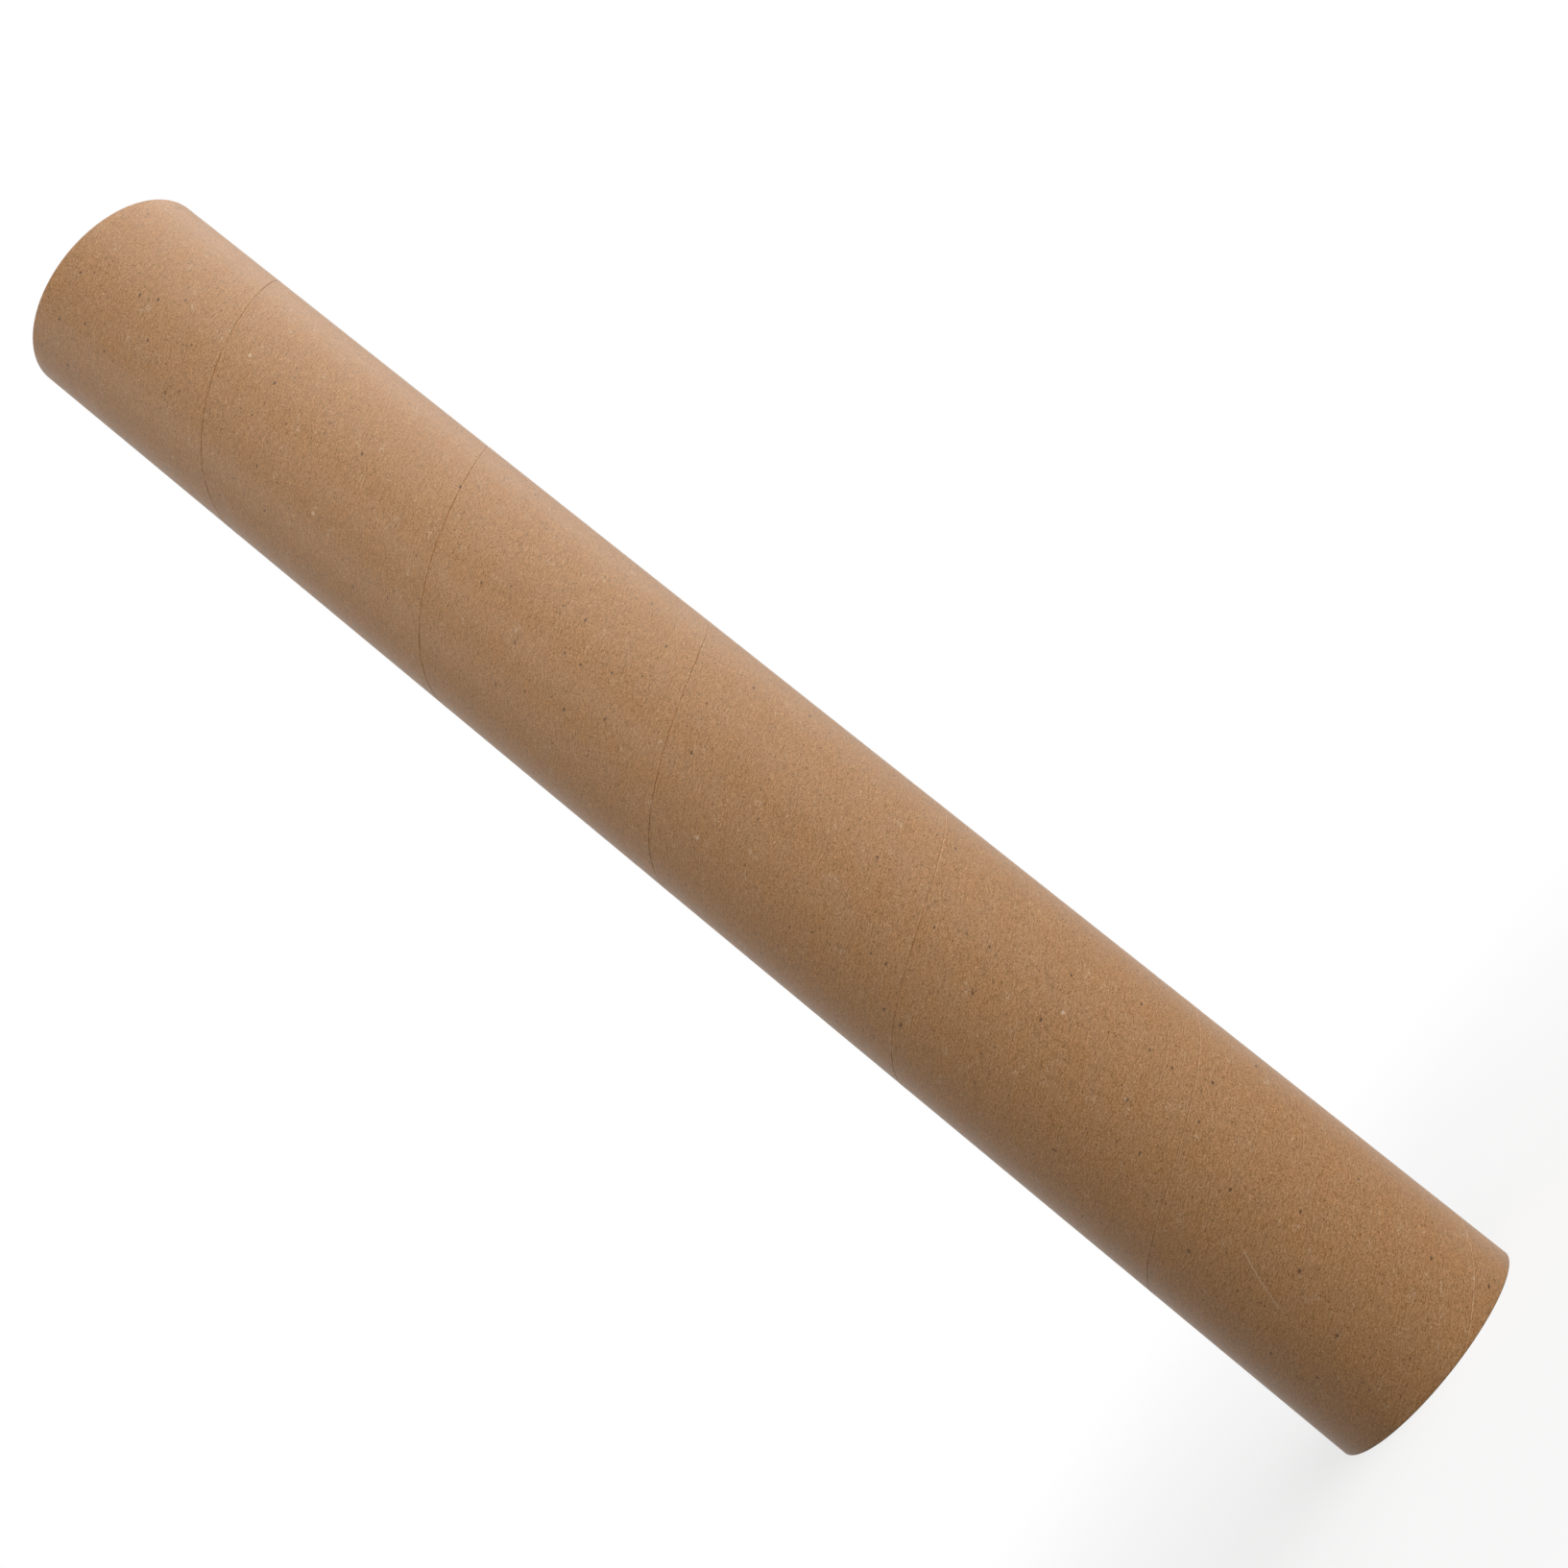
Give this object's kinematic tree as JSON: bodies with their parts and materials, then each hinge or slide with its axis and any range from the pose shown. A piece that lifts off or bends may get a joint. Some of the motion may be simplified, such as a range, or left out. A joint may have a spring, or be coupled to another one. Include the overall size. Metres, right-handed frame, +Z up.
{
  "type": "kraft mailing tube",
  "caption": "Long round tube of spiral-wound kraft paper board, cut square and open at both ends, for posting rolled paper.",
  "frame": {"origin": "centre of the lower cut end, where the tube stands on its end", "axes": "+Z up along the tube's axis to its upper cut end; -Y is the side that the picture looks at"},
  "size_m": [0.0556, 0.0556, 0.4],
  "materials": {
    "kraft_board": "matt uncoated brown kraft paper with fine fibres and small dark and light flecks"
  },
  "bodies": {
    "root": {"tube": "kraft_board"}
  },
  "joints": []
}
